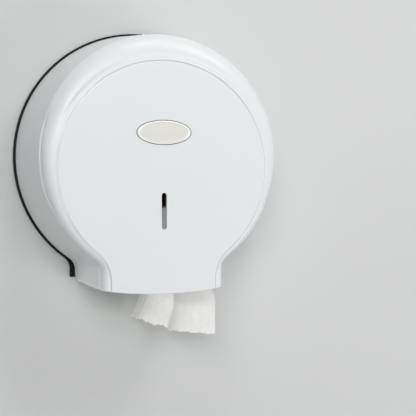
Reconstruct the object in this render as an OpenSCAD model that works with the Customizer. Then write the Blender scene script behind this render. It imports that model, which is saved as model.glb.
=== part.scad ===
// Wall-mounted dispenser for one jumbo toilet roll.
// +X is to the right, +Y runs into the wall and +Z is up. The wall face is y = 0
// and the origin is the middle of the four wall holes, on the spindle's axis.

/* [Cover] */
// Width of the cover across its rear edge
cover_w = 272; // [262:1:282]
// Distance from the wall to the flat front face
cover_depth = 117; // [116:1:126]
// Gap between the wall and the cover's rear edge
cover_gap = 6; // [5:0.5:7]
// Thickness of the cover's moulded wall
wall_t = 2.6; // [2.2:0.1:3.2]
// How far the round side wall draws in by the time it reaches the ledge
side_draft = 9.3; // [7:0.1:11]
// Width of the neck across the cover's rear edge
neck_w = 143.6; // [140:0.2:148]
// How far each neck wall draws in by the time it reaches the ledge
neck_draft = 5.7; // [4:0.1:7]
// Length of the neck's straight side below its hollow corner, at the rear edge
neck_len = 11.9; // [10:0.1:18]
// Radius of the hollow corner between the round and the neck, at the rear edge
corner_r = 16; // [12:1:20]

/* [Front] */
// Depth of the shoulder, from its ledge to the front face
shoulder_h = 14; // [12:1:17]
// Width of the forward-facing ledge where the shoulder starts
ledge_w = 1.8; // [1:0.1:2.4]
// Width of the shoulder at the sides, from its ledge in to the front panel
shoulder_w = 14.5; // [12:0.1:18]
// How far the front panel's centre lies below the spindle's axis
panel_drop = 12; // [8:0.5:14]
// Width of the front panel at the neck
panel_neck_w = 111.6; // [106:0.2:118]
// Radius of the panel's hollow corner at the neck
panel_corner_r = 38; // [30:1:42]
// Width of the groove round the front panel
groove_w = 1.2; // [0.8:0.1:1.6]
// Depth of that groove below the shoulder
groove_d = 1; // [0.6:0.1:1.4]
// How far the front's bottom edge bows down at its middle
lip_bow = 4.7; // [3:0.1:6]

/* [Badge and sight slot] */
// Width of the oval badge
badge_w = 57; // [50:0.5:60]
// Height of the oval badge
badge_h = 24.5; // [22:0.5:28]
// Height of the badge's middle above the spindle's axis
badge_z = 25; // [20:0.5:30]
// Clearance round the badge in its recess
badge_gap = 0.6; // [0.4:0.1:0.9]
// Depth of the badge's recess
badge_seat = 1.4; // [1:0.1:1.8]
// Width of the sight slot
slot_w = 5; // [4:0.1:6]
// Height of the sight slot
slot_h = 37.5; // [34:0.5:42]
// Depth of the sight slot's top below the spindle's axis
slot_top = 37; // [34:0.5:42]

/* [Tear teeth] */
// Spacing of the tear teeth
tooth_pitch = 10; // [8:0.5:12]
// Height of the tear teeth
tooth_h = 2.6; // [1.5:0.1:3]

/* [Back plate] */
// Thickness of the back plate
plate_t = 3; // [2.5:0.1:4]
// How far the back plate shows beyond the cover's rear edge
plate_reveal = 2.4; // [1.6:0.2:4]
// Thickness of the back plate's rim and ribs
rib_t = 2; // [1.6:0.1:2.6]
// Height of the rim above the plate
rim_h = 10; // [8:0.5:12]
// Height of the ribs above the plate
rib_h = 5; // [4:0.5:6]
// Clearance between the rim and the cover
rim_gap = 1.2; // [1:0.1:2]
// Spacing of the wall holes across
mount_x = 150; // [140:2:160]
// Spacing of the wall holes up and down
mount_z = 150; // [140:2:160]
// Diameter of the wall holes
mount_d = 5.5; // [4.5:0.1:6.5]

/* [Hinge] */
// Height of the hinge axis above the neck's bottom edge
hinge_up = 10; // [9:0.5:12]
// Distance from the cover's rear edge to the hinge axis
hinge_in = 8; // [7.5:0.5:10]
// Diameter of the hinge pins
hinge_pin_d = 5; // [4:0.1:5.6]
// Thickness of the back plate's hinge ears
ear_t = 6; // [5:0.5:7]
// Side play between each ear and the cover's boss
hinge_play = 0.5; // [0.4:0.1:0.8]

/* [Spindle and roll] */
// Free depth between the roll and the inside of the front
roll_front_gap = 12.4; // [10:0.2:16]
// Diameter of the paper roll
paper_d = 190; // [170:2:200]
// Inside diameter of the cardboard core
core_d = 64; // [58:1:70]
// Thickness of the cardboard core
core_t = 1.5; // [1:0.1:2.5]
// Outside diameter of the turning sleeve
sleeve_d = 24; // [22:0.5:28]
// Diameter of the fixed spindle
spindle_d = 16; // [14:0.5:18]
// Radial running clearance of pins and sleeves
run_gap = 0.05; // [0.03:0.01:0.08]
// Clearance between pieces that lie loosely against each other
seat_gap = 0.3; // [0.2:0.05:0.4]
// Length of the torn paper end that hangs below the neck
tail_hang = 42; // [30:1:60]
// Length of the loose inner ply that hangs below the neck
ply_hang = 60; // [30:1:70]
// Thickness of the hanging paper
tail_t = 1; // [0.8:0.1:1.5]

/* [Lock] */
// Distance of the lock's axis from the wall
lock_in = 36; // [34:0.5:40]
// Diameter of the lock's body
lock_d = 14; // [12:0.5:15]
// Length of the lock's body below its seat
lock_len = 20; // [18:0.5:24]
// Length of the lock's cam from its axis
cam_len = 19; // [17:0.5:20]

/* [Hidden] */
$fn = 64;
over = 1; // how far a cutter runs past the face it cuts

// Levels, measured out from the wall
panel_y = cover_depth;
ledge_y = cover_depth - shoulder_h;
inside_y = cover_depth - wall_t;
cover_r = cover_w / 2;
neck_drop = neck_len - corner_z(cover_r, 0, neck_w / 2, corner_r);
panel_r = cover_r - side_draft - ledge_w - shoulder_w;
hinge_y = cover_gap + hinge_in;
hinge_z = -(neck_drop - hinge_up);
roll_y = 12; // where the roll starts
paper_w = inside_y - roll_front_gap - roll_y;
spindle_flange_r = 30;
spindle_flange_t = 3;
spindle_root = plate_t + spindle_flange_t;

// Outline of a round body with a neck below: points [x, z] from the lowest middle point, up the left
// side, over the top and down the right side. The bottom edge bows down by the amount given.
fillet_steps = 8;
round_steps = 76;
bow_steps = 3;
function arc(cx, cz, r, from, to, steps) =
    [for (i = [0:steps]) let (a = from + (to - from) * i / steps) [cx + r * cos(a), cz + r * sin(a)]];
function bow(w, bottom, depth, from, to) =
    [for (i = [0:bow_steps]) let (s = from + (to - from) * i / bow_steps) [w * s, -bottom - depth * (1 - s * s)]];
function corner_z(r, drop, w, fillet) = -drop - sqrt(pow(r + fillet, 2) - pow(w + fillet, 2));
function outline(r, drop, w, fillet, bottom, depth) =
    let (fx = w + fillet, fz = corner_z(r, drop, w, fillet), b = atan2(-drop - fz, fx))
    concat(
        bow(w, bottom, depth, 0, -1),
        arc(-fx, fz, fillet, 0, b, fillet_steps),
        [for (i = [1:round_steps - 1]) let (a = 180 + b - (180 + 2 * b) * i / round_steps)
            [r * cos(a), r * sin(a) - drop]],
        arc(fx, fz, fillet, 180 - b, 180, fillet_steps),
        [for (i = [0:bow_steps - 1]) bow(w, bottom, depth, 1, 0)[i]]);

// A section of the cover is [distance from the wall, outline].
function side_section(y, inset, bottom) =
    let (s = (y - cover_gap) / (ledge_y - cover_gap))
    [y, outline(cover_r - side_draft * s - inset, 0, neck_w / 2 - neck_draft * s - inset,
        corner_r + inset, bottom, lip_bow)];
// The shoulder turns from the ledge (s = 0) to the front panel (s = 1) on a quarter round.
shoulder_steps = 6;
function blend(a, b, s) = a + (b - a) * s;
function front_w(s) = blend(neck_w / 2 - neck_draft - ledge_w, panel_neck_w / 2, s);
function front_section(y, turn, inset, bottom) =
    let (w = front_w(turn), bowed = lip_bow * (1 - pow(w / front_w(0), 2)))
    [y, outline(blend(cover_r - side_draft - ledge_w, panel_r, turn) - inset, panel_drop * turn, w - inset,
        blend(corner_r, panel_corner_r, turn) + inset, bottom + bowed, lip_bow - bowed)];
function shoulder(inset, rise, bottom) =
    [for (i = [0:shoulder_steps]) let (a = 90 * i / shoulder_steps)
        front_section(ledge_y - inset + rise * sin(a), 1 - cos(a), inset, bottom)];

// Joins sections that all have the same number of points, with a flat face at each end.
module loft(sections) {
    n = len(sections[0][1]);
    last = len(sections) - 1;
    points = [for (s = sections, p = s[1]) [p[0], -s[0], p[1]]];
    sides = [for (j = [0:last - 1], i = [0:n - 1]) let (k = (i + 1) % n)
        each [[j * n + i, j * n + k, (j + 1) * n + k], [j * n + i, (j + 1) * n + k, (j + 1) * n + i]]];
    near = [for (i = [1:n]) n - i];
    far = [for (i = [0:n - 1]) last * n + i];
    polyhedron(points, concat(sides, [near, far]));
}

// Extrudes an [x, z] shape away from the wall, from one distance to another.
module out(from, to) {
    translate([0, -from, 0]) rotate([90, 0, 0]) linear_extrude(to - from) children();
}
// Extrudes a [distance from the wall, z] shape across, from one x to another.
module across(from, to) {
    translate([from, 0, 0]) rotate([90, 0, 90]) linear_extrude(to - from) mirror([1, 0]) children();
}
// A cylinder that points away from the wall.
module peg(r, from, to) {
    translate([0, -from, 0]) rotate([90, 0, 0]) cylinder(r = r, h = to - from);
}
// A cylinder along X through the hinge axis.
module hinge_rod(r, from, to) {
    translate([from, -hinge_y, hinge_z]) rotate([0, 90, 0]) cylinder(r = r, h = to - from);
}
module both_sides() {
    children();
    mirror([1, 0, 0]) children();
}
module oval(w, h) {
    polygon([for (i = [0:47]) [w / 2 * cos(i * 7.5), h / 2 * sin(i * 7.5)]]);
}

// ---- Cover ----
cover_plastic = [0.93, 0.94, 0.94];
boss_r = hinge_pin_d / 2 + 4.2;
// Inside face of the neck wall where the hinge axis meets it
neck_inside = neck_w / 2 - neck_draft * hinge_in / (ledge_y - cover_gap) - wall_t;
boss_x = neck_inside - 4.2;
pin_end = neck_inside + wall_t / 2;

module cover_outside() {
    panel_edge = outline(panel_r - groove_w, panel_drop, panel_neck_w / 2 - groove_w,
        panel_corner_r + groove_w, neck_drop + lip_bow - lip_end, lip_end);
    groove = outline(panel_r - groove_w / 2, panel_drop, (panel_neck_w - groove_w) / 2,
        panel_corner_r + groove_w / 2, neck_drop + lip_bow - lip_end, lip_end);
    loft(concat(
        [side_section(cover_gap, 0, neck_drop), side_section(ledge_y, 0, neck_drop)],
        shoulder(0, shoulder_h - groove_d / 2, neck_drop),
        [[panel_y - groove_d * 1.5, groove], [panel_y, panel_edge]]));
}
// Bow that is left across the width of the front panel
lip_end = lip_bow * pow(front_w(1) / front_w(0), 2);

module cover_hollow() {
    bottom = neck_drop + over;
    loft(concat(
        [side_section(cover_gap - over, wall_t, bottom), side_section(ledge_y - 2 * wall_t, wall_t, bottom)],
        shoulder(wall_t, shoulder_h, bottom)));
}
// What is trimmed off the neck's side walls: the round rear corner and the gaps between the teeth.
teeth_start = hinge_y + 0.8 * tooth_pitch;
tooth_tip = 0.2;
tooth_count = floor((ledge_y - teeth_start) / tooth_pitch);
module neck_trim() {
    tips = [for (i = [0:tooth_count - 1]) let (y = teeth_start + i * tooth_pitch)
        each [[y, -neck_drop + tooth_tip], [y + tooth_pitch / 2, -neck_drop + tooth_h]]];
    end = teeth_start + tooth_count * tooth_pitch;
    corner = [for (a = [0:15:90]) [hinge_y - hinge_in * cos(a), hinge_z - hinge_in * sin(a)]];
    across(-neck_w, neck_w) polygon(concat(
        [[cover_gap - over, hinge_z]], corner, tips,
        [[end, -neck_drop + tooth_tip], [end, -neck_drop - over], [cover_gap - over, -neck_drop - over]]));
}
module sight_slot() {
    r = slot_w / 2;
    out(inside_y - over, panel_y + over) {
        translate([-r, -slot_top - slot_h + r]) square([slot_w, slot_h - slot_w]);
        translate([0, -slot_top - r]) circle(r);
        translate([0, -slot_top - slot_h + r]) circle(r);
    }
}
module front_cover() {
    color(cover_plastic) difference() {
        cover_outside();
        difference() {
            cover_hollow();
            both_sides() hinge_rod(boss_r, boss_x, neck_inside + wall_t / 2);
            lock_rod(lock_boss_r, lock_boss_z, lock_seat_z + wall_t);
        }
        neck_trim();
        sight_slot();
        out(panel_y - badge_seat, panel_y + over) translate([0, badge_z])
            oval(badge_w + 2 * badge_gap, badge_h + 2 * badge_gap);
        both_sides() hinge_rod(hinge_pin_d / 2 + run_gap, boss_x - over, pin_end + seat_gap);
        lock_rod(lock_d / 2 + seat_gap, lock_boss_z - over, lock_seat_z + over);
        lock_rod(lock_flange_r + seat_gap, lock_seat_z, cover_r);
    }
}
badge_proud = 0.5;
module oval_badge() {
    color([0.9, 0.9, 0.86]) translate([0, 0, badge_z]) {
        out(panel_y - badge_seat, panel_y) oval(badge_w, badge_h);
        out(panel_y, panel_y + badge_proud) oval(badge_w - 2 * badge_proud, badge_h - 2 * badge_proud);
    }
}

// ---- Lock, upright in the top of the cover ----
lock_flange_r = lock_d / 2 + 2.2;
lock_flange_t = 1.6;
lock_boss_r = lock_flange_r + 2.4;
lock_share = (lock_in - cover_gap) / (ledge_y - cover_gap);
lock_recess = 0.4; // keeps the flange's front edge below the rim of the front
lock_seat_z = cover_r - side_draft * lock_share - wall_t / 2 - lock_recess;
lock_boss_z = lock_seat_z - 8;
lock_nut_t = 4;
plug_r = lock_d / 2 - 2.4;
cam_t = 2;
cam_w = 8;
cam_z = lock_seat_z - lock_len - 3;
module lock_rod(r, from, to) {
    translate([0, -lock_in, from]) cylinder(r = r, h = to - from);
}
module lock_housing() {
    color("silver") difference() {
        union() {
            lock_rod(lock_d / 2, lock_seat_z - lock_len, lock_seat_z);
            lock_rod(lock_flange_r, lock_seat_z, lock_seat_z + lock_flange_t);
        }
        lock_rod(plug_r + run_gap, lock_seat_z - lock_len - over, lock_seat_z + lock_flange_t + over);
    }
}
module lock_nut() {
    color("silver") difference() {
        translate([0, -lock_in, lock_boss_z - lock_nut_t]) cylinder(r = lock_d / 2 + 3.5, h = lock_nut_t, $fn = 6);
        lock_rod(lock_d / 2, lock_boss_z - lock_nut_t - over, lock_boss_z + over);
    }
}
module lock_plug() {
    key_w = 1.4;
    key_depth = 12;
    top = lock_seat_z + lock_flange_t;
    color("gainsboro") difference() {
        union() {
            lock_rod(plug_r, lock_seat_z - lock_len, top - 0.4);
            lock_rod(plug_r - 1, cam_z, lock_seat_z - lock_len);
        }
        translate([-key_w / 2, -lock_in - plug_r + 1, top - key_depth])
            cube([key_w, 2 * plug_r - 2, key_depth]);
        lock_rod(1.25, cam_z - over, cam_z + 8);
    }
}
// The cam points at the wall when the lock is open.
module lock_cam() {
    color("silver") difference() {
        union() {
            lock_rod(cam_w / 2, cam_z - cam_t, cam_z);
            translate([-cam_w / 2, -lock_in, cam_z - cam_t]) cube([cam_w, cam_len, cam_t]);
        }
        lock_rod(1.25, cam_z - cam_t - over, cam_z + over);
    }
}
module cam_screw() {
    color("dimgray") {
        lock_rod(1.25, cam_z - cam_t, cam_z + 6);
        lock_rod(2.8, cam_z - cam_t - 1.8, cam_z - cam_t);
    }
}

// ---- Back plate ----
base_plastic = [0.08, 0.08, 0.09];
rim_r = cover_r - wall_t - rim_gap - side_draft * (plate_t + rim_h - cover_gap) / (ledge_y - cover_gap);
rim_cut_z = -80;
hub_r = spindle_flange_r + rib_t + 1;
ear_x = boss_x - hinge_play - ear_t;
ear_r = hinge_pin_d / 2 + 3.6;
mount_boss_r = mount_d / 2 + 4;
mount_boss_h = 3;
module at_mounts() {
    for (x = [-1, 1], z = [-1, 1]) translate([x * mount_x / 2, z * mount_z / 2]) children();
}
module ribs() {
    difference() {
        for (a = [0:30:150]) rotate(a) translate([-rim_r + rib_t / 2, -rib_t / 2])
            square([2 * rim_r - rib_t, rib_t]);
        circle(hub_r - rib_t / 2);
        translate([-rim_r, rim_cut_z - rim_r]) square([2 * rim_r, rim_r]);
    }
}
module rim() {
    difference() {
        circle(rim_r);
        circle(rim_r - rib_t);
        translate([-rim_r, rim_cut_z - rim_r]) square([2 * rim_r, rim_r]);
    }
}
module hinge_ear() {
    hinge_rod(ear_r, ear_x, ear_x + ear_t);
    translate([ear_x, -hinge_y, hinge_z - ear_r]) cube([ear_t, hinge_y - plate_t / 2, 2 * ear_r]);
}
module back_plate() {
    plate = outline(cover_r + plate_reveal, 0, neck_w / 2 + 2 * plate_reveal, corner_r, neck_drop - 3.5, 0);
    color(base_plastic) difference() {
        union() {
            out(0, plate_t) polygon(plate);
            out(plate_t / 2, plate_t + rim_h) rim();
            out(plate_t / 2, plate_t + rib_h) ribs();
            out(plate_t / 2, plate_t + rib_h) difference() {
                circle(hub_r);
                circle(hub_r - rib_t);
            }
            out(plate_t / 2, plate_t + mount_boss_h) at_mounts() circle(mount_boss_r);
            both_sides() hinge_ear();
        }
        out(-over, plate_t + mount_boss_h + over) at_mounts() circle(mount_d / 2);
        both_sides() hinge_rod(hinge_pin_d / 2, ear_x - over, ear_x + ear_t + over);
        at_spindle_screws() peg(small_screw_r, plate_t - 2, plate_t + over);
        at_strike_screws() peg(small_screw_r, plate_t - 2, plate_t + over);
    }
}
module hinge_pins() {
    color("silver") both_sides() hinge_rod(hinge_pin_d / 2, ear_x, pin_end);
}

// ---- Strike bracket: a bent steel strip that the cam turns behind ----
strike_t = 2.4;
strike_x = cam_w / 2 + 4.5;
strike_w = 15;
strike_reach = lock_in + cam_w / 2 + 2.5;
strike_z = cam_z - cam_t - 7;
strike_foot = 16;
small_screw_r = 1.5;
module at_strike_screws() {
    for (s = [0.3, 0.7]) translate([strike_x + strike_w * s, 0, strike_z - strike_foot / 2]) children();
}
module strike_bracket() {
    lip = cam_z + 3 - strike_z;
    color("silver") difference() {
        across(strike_x, strike_x + strike_w) polygon([
            [plate_t, strike_z - strike_foot], [plate_t + strike_t, strike_z - strike_foot],
            [plate_t + strike_t, strike_z], [strike_reach + strike_t, strike_z],
            [strike_reach + strike_t, strike_z + lip], [strike_reach, strike_z + lip],
            [strike_reach, strike_z + strike_t], [plate_t, strike_z + strike_t]]);
        at_strike_screws() peg(small_screw_r, plate_t - over, plate_t + strike_t + over);
    }
}
// A pan-head screw whose head rests at the given distance from the wall.
module pan_screw(head_at, length) {
    peg(small_screw_r, head_at - length, head_at);
    difference() {
        peg(small_screw_r * 1.9, head_at, head_at + 1.8);
        for (a = [0, 90]) translate([0, -head_at - 1.8, 0]) rotate([0, a, 0]) cube([0.7, 2, 3], center = true);
    }
}
module strike_screws() {
    color("dimgray") at_strike_screws() pan_screw(plate_t + strike_t, strike_t + 1.6);
}

// ---- Spindle, sleeve and roll ----
sleeve_from = roll_y - 1;
sleeve_to = roll_y + paper_w + 1;
washer_t = 1;
cap_t = 4;
cap_r = sleeve_d / 2 + 3;
cap_screw_r = 2;
core_r = core_d / 2;
paper_r = paper_d / 2;
// The core hangs on the sleeve, so the roll's own axis lies below the spindle's.
roll_z = -(core_r - sleeve_d / 2 - seat_gap);
module at_spindle_screws() {
    for (a = [90, 210, 330]) rotate([0, a, 0]) translate([(spindle_flange_r + sleeve_d / 2) / 2, 0, 0]) children();
}
module spindle_post() {
    color(base_plastic) difference() {
        union() {
            peg(spindle_flange_r, plate_t, spindle_root);
            peg(sleeve_d / 2, spindle_root, sleeve_from - washer_t - seat_gap);
            peg(spindle_d / 2, spindle_root, sleeve_to + seat_gap);
        }
        at_spindle_screws() peg(small_screw_r, plate_t - over, spindle_root + over);
        peg(cap_screw_r, sleeve_to - 20, sleeve_to + cap_t);
    }
}
module spindle_screws() {
    color("dimgray") at_spindle_screws() pan_screw(spindle_root, spindle_flange_t + 1.6);
}
module ring(outer, inner, from, to) {
    difference() {
        peg(outer, from, to);
        peg(inner, from - over, to + over);
    }
}
module thrust_washer() {
    color("gainsboro") ring(sleeve_d / 2, spindle_d / 2 + seat_gap, sleeve_from - washer_t - seat_gap, sleeve_from - seat_gap);
}
module core_sleeve() {
    flute_r = 1.6;
    color("whitesmoke") difference() {
        peg(sleeve_d / 2, sleeve_from, sleeve_to);
        peg(spindle_d / 2 + run_gap, sleeve_from - over, sleeve_to + over);
        for (a = [0:60:300]) rotate([0, a, 0]) translate([sleeve_d / 2 + flute_r * 0.4, 0, 0])
            peg(flute_r, sleeve_from - over, sleeve_to + over);
    }
}
module spindle_cap() {
    color(base_plastic) difference() {
        union() {
            peg(cap_r, sleeve_to + seat_gap, sleeve_to + seat_gap + cap_t - 1.5);
            peg(cap_r - 1.5, sleeve_to + seat_gap, sleeve_to + seat_gap + cap_t);
        }
        peg(cap_screw_r, sleeve_to, sleeve_to + cap_t + over);
        peg(cap_screw_r * 2, sleeve_to + seat_gap + cap_t - 2, sleeve_to + cap_t + over);
    }
}
module cap_screw() {
    seat = sleeve_to + seat_gap + cap_t - 2;
    color("dimgray") {
        peg(cap_screw_r, seat - 18, seat);
        peg(cap_screw_r * 1.8, seat, seat + 1.8);
    }
}
module roll_core() {
    color("tan") translate([0, 0, roll_z]) ring(core_r + core_t, core_r, roll_y, roll_y + paper_w);
}
module paper_roll() {
    color("white") translate([0, 0, roll_z]) ring(paper_r, core_r + core_t, roll_y, roll_y + paper_w);
}
// A sheet peels off the underside of the roll, bends down on a small radius and hangs.
tail_peel = -78;
ply_peel = -56.3;
tail_bend_r = 14;
module hanging_sheet(peel, hang) {
    r = paper_r + seat_gap;
    bend = [(r + tail_bend_r) * cos(peel), roll_z + (r + tail_bend_r) * sin(peel)];
    inner = tail_bend_r - tail_t;
    inside = arc(bend[0], bend[1], inner, 180 + peel, 180, 6);
    outside = arc(bend[0], bend[1], tail_bend_r, 180, 180 + peel, 6);
    end = -neck_drop - hang;
    out(roll_y, roll_y + paper_w) polygon(concat(
        inside, [[bend[0] - inner, end], [bend[0] - tail_bend_r, end]], outside));
}
module paper_tail() {
    color("white") {
        hanging_sheet(tail_peel, tail_hang);
        hanging_sheet(ply_peel, ply_hang);
    }
}

front_cover();
oval_badge();
lock_housing();
lock_nut();
lock_plug();
lock_cam();
cam_screw();
back_plate();
strike_bracket();
strike_screws();
hinge_pins();
spindle_post();
spindle_screws();
thrust_washer();
core_sleeve();
spindle_cap();
cap_screw();
roll_core();
paper_roll();
paper_tail();
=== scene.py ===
"""Dresses the jumbo toilet roll dispenser: the moulded cover, its badge, the roll and its loose paper."""

import math
import random

import bmesh
import bpy
from bpy.props import FloatProperty, FloatVectorProperty, IntProperty, PointerProperty
from bpy.types import Operator, Panel, PropertyGroup
from mathutils import Euler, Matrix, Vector


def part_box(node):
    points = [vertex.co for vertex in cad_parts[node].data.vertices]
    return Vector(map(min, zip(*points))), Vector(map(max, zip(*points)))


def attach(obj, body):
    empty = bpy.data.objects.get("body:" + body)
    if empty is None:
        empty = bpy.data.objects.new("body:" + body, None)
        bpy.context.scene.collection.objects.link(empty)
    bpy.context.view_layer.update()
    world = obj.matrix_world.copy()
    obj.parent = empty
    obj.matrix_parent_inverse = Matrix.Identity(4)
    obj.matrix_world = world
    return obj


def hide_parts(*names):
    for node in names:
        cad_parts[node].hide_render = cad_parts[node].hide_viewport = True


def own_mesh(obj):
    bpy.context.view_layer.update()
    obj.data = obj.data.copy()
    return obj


bl_info = {
    "name": "Jumbo roll dispenser",
    "version": (1, 0, 0),
    "blender": (4, 5, 0),
    "location": "View3D > Sidebar > Dispenser",
    "description": "Builds the dressed dispenser around its packed CAD frame",
    "category": "Object",
}

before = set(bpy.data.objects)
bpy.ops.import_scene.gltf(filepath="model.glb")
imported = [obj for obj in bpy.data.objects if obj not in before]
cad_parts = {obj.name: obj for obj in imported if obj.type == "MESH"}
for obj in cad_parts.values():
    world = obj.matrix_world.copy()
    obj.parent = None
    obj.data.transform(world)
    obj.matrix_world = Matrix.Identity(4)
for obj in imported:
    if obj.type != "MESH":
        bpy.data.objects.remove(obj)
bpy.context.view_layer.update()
MM = 0.001
OVAL_SIDES, ROLL_SIDES = 128, 180
# The badge lies in a recess of the panel, with a gap all round it.
RECESS_DEPTH, RECESS_GAP = 0.0014, 0.0006
COVER_LOW, COVER_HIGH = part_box("front_cover")
ROLL_LOW, ROLL_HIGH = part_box("paper_roll")
BADGE_LOW, BADGE_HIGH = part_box("oval_badge")
ROLL_Z, ROLL_RADIUS = (ROLL_LOW[2] + ROLL_HIGH[2]) / 2, (ROLL_HIGH[2] - ROLL_LOW[2]) / 2
BADGE_Z = (BADGE_LOW[2] + BADGE_HIGH[2]) / 2
BADGE_WIDTH, BADGE_HEIGHT = BADGE_HIGH[0] - BADGE_LOW[0], BADGE_HIGH[2] - BADGE_LOW[2]


def linear(hex_colour):
    """An sRGB hex colour as linear RGBA."""
    channels = [int(hex_colour[i : i + 2], 16) / 255 for i in (1, 3, 5)]
    return [c / 12.92 if c <= 0.04045 else ((c + 0.055) / 1.055) ** 2.4 for c in channels] + [1.0]


def colour_prop(name, description, hex_colour):
    return FloatVectorProperty(
        name=name, description=description, subtype="COLOR", size=4, min=0, max=1, default=linear(hex_colour)
    )


def length_prop(name, description, metres):
    return FloatProperty(name=name, description=description, unit="LENGTH", default=metres, min=0.0001, precision=5)


class DispenserSizes(PropertyGroup):
    """Sizes of the dressed pieces. The defaults are the frame's own."""

    cover_radius: length_prop("Cover radius", "Radius of the cover at its rear edge", COVER_HIGH[0])
    side_draft: length_prop("Side draft", "How far the side wall draws in by the ledge", 0.0093)
    rear_y: length_prop("Rear edge", "Distance of the cover's rear edge from the wall", -COVER_HIGH[1])
    ledge_y: length_prop("Ledge", "Distance of the ledge from the wall", 0.103)
    panel_y: length_prop("Front", "Distance of the front panel from the wall", -COVER_LOW[1])
    ledge_width: length_prop("Ledge width", "Width of the forward-facing ledge", 0.0018)
    panel_radius: length_prop("Panel radius", "Radius of the front panel", 0.1104)
    panel_drop: length_prop("Panel drop", "How far the panel's centre lies below the axis", 0.012)
    neck_half: length_prop("Neck half width", "Half the neck's width at the rear edge", 0.0718)
    neck_draft: length_prop("Neck draft", "How far each neck wall draws in by the ledge", 0.0057)
    panel_neck_half: length_prop("Panel neck half width", "Half the panel's width at the neck", 0.0558)
    corner_radius: length_prop("Corner radius", "Hollow corner between round and neck, at the rear", 0.016)
    panel_corner_radius: length_prop("Panel corner radius", "Hollow corner of the front panel", 0.038)
    neck_bottom: length_prop("Neck bottom", "Depth of the neck's bottom edge below the axis", 0.135977)
    lip_bow: length_prop("Lip bow", "How far the front's bottom edge bows down", 0.0047)
    wall: length_prop("Wall", "Thickness of the moulded wall", 0.0026)
    tooth_pitch: length_prop("Tooth pitch", "Spacing of the tear teeth", 0.010)
    tooth_height: length_prop("Tooth height", "Height of the tear teeth", 0.0026)
    slot_width: length_prop("Slot width", "Width of the sight slot", 0.005)
    slot_top: length_prop("Slot top", "Depth of the slot's top below the axis", 0.037)
    slot_height: length_prop("Slot height", "Height of the sight slot", 0.0375)
    sheet_thickness: length_prop("Sheet thickness", "Thickness of the hanging tissue", 0.0003)
    round_steps: IntProperty(name="Round steps", description="Faces round the cover's arc", default=200, min=40)


class DispenserColours(PropertyGroup):
    """Colours of the finishes."""

    shell: colour_prop("Cover", "White moulded ABS", "#EBEDEE")
    base: colour_prop("Back plate", "Black moulded ABS", "#0B0B0C")
    badge: colour_prop("Badge", "Cream lacquered plate", "#EAE9E2")
    # The badge outline is a dark ring that paints the shade in the gap round the badge.
    outline: colour_prop("Badge outline", "Dark grey ring painting the shade of the badge's gap", "#303335")
    tissue: colour_prop("Tissue", "Bleached tissue paper", "#F7F7F4")
    board: colour_prop("Core", "Grey-brown cardboard", "#9A8567")
    wall: colour_prop("Wall", "Pale backdrop", "#DADBDA")


def clamp(x):
    return max(0.0, min(1.0, x))


def eased(x):
    x = clamp(x)
    return x * x * (3 - 2 * x)


def mix(a, b, t):
    return a + (b - a) * t


# ---------------------------------------------------------------- mesh helpers


def deselect():
    if bpy.context.mode != "OBJECT":
        bpy.ops.object.mode_set(mode="OBJECT")
    bpy.ops.object.select_all(action="DESELECT")


def select_only(obj):
    deselect()
    obj.select_set(True)
    bpy.context.view_layer.objects.active = obj


def new_piece(name):
    """Names the object that was just added and puts its place into its mesh."""
    obj = bpy.context.active_object
    obj.name = name
    obj.data.name = name
    bpy.ops.object.transform_apply(location=True, rotation=True, scale=True)
    return obj


def edit_all(obj):
    """Opens a piece in edit mode with all of it selected."""
    select_only(obj)
    bpy.ops.object.mode_set(mode="EDIT")
    bpy.ops.mesh.select_all(action="SELECT")


def apply_modifiers(obj):
    select_only(obj)
    for modifier in list(obj.modifiers):
        bpy.ops.object.modifier_apply(modifier=modifier.name)


def face_outwards(obj):
    """Merges doubles, turns every face of a closed piece outwards and leaves edit mode."""
    edit_all(obj)
    bpy.ops.mesh.remove_doubles(threshold=1e-6)
    bpy.ops.mesh.normals_make_consistent(inside=False)
    bpy.ops.object.mode_set(mode="OBJECT")


def smooth(obj, degrees):
    select_only(obj)
    bpy.ops.object.shade_smooth_by_angle(angle=math.radians(degrees))


def dress(obj, material, body, slot, *nodes):
    """Gives a finished piece its material and its body, and hides the nodes that it stands for. The record slot is
    not used.
    """
    obj.data.materials.clear()
    obj.data.materials.append(material)
    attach(obj, body)
    if nodes:
        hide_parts(*nodes)


def combine(obj, other, operation):
    """Cuts another closed shape out of the piece, or joins the two, and deletes the other."""
    modifier = obj.modifiers.new("combine", "BOOLEAN")
    modifier.operation = operation
    modifier.solver = "EXACT"
    modifier.object = other
    apply_modifiers(obj)
    bpy.data.objects.remove(other, do_unlink=True)


def cut(obj, cutter):
    combine(obj, cutter, "DIFFERENCE")


def weld(obj, other):
    combine(obj, other, "UNION")


def cylinder(name, radius, start, end, sides=64):
    """A closed cylinder from one point to another."""
    start, end = Vector(start), Vector(end)
    deselect()
    bpy.ops.mesh.primitive_cylinder_add(
        vertices=sides,
        radius=radius,
        depth=(end - start).length,
        location=(start + end) / 2,
        rotation=(end - start).to_track_quat("Z", "Y").to_euler(),
    )
    return new_piece(name)


# ---------------------------------------------------------------- materials


def add_node(tree, kind, inputs, settings=None, ramp=()):
    """Adds a node. An input takes a value, a socket to link from, or a node, which stands for its first output.
    ramp holds the stops of a colour ramp as (position, colour)."""
    made = tree.nodes.new(kind)
    for key, value in (settings or {}).items():
        setattr(made, key, value)
    for key, value in inputs.items():
        if isinstance(value, bpy.types.Node):
            value = value.outputs[0]
        if isinstance(value, bpy.types.NodeSocket):
            tree.links.new(value, made.inputs[key])
        else:
            made.inputs[key].default_value = value
    for i, (position, colour) in enumerate(ramp):
        made.color_ramp.elements[i].position = position
        made.color_ramp.elements[i].color = colour
    return made


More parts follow.
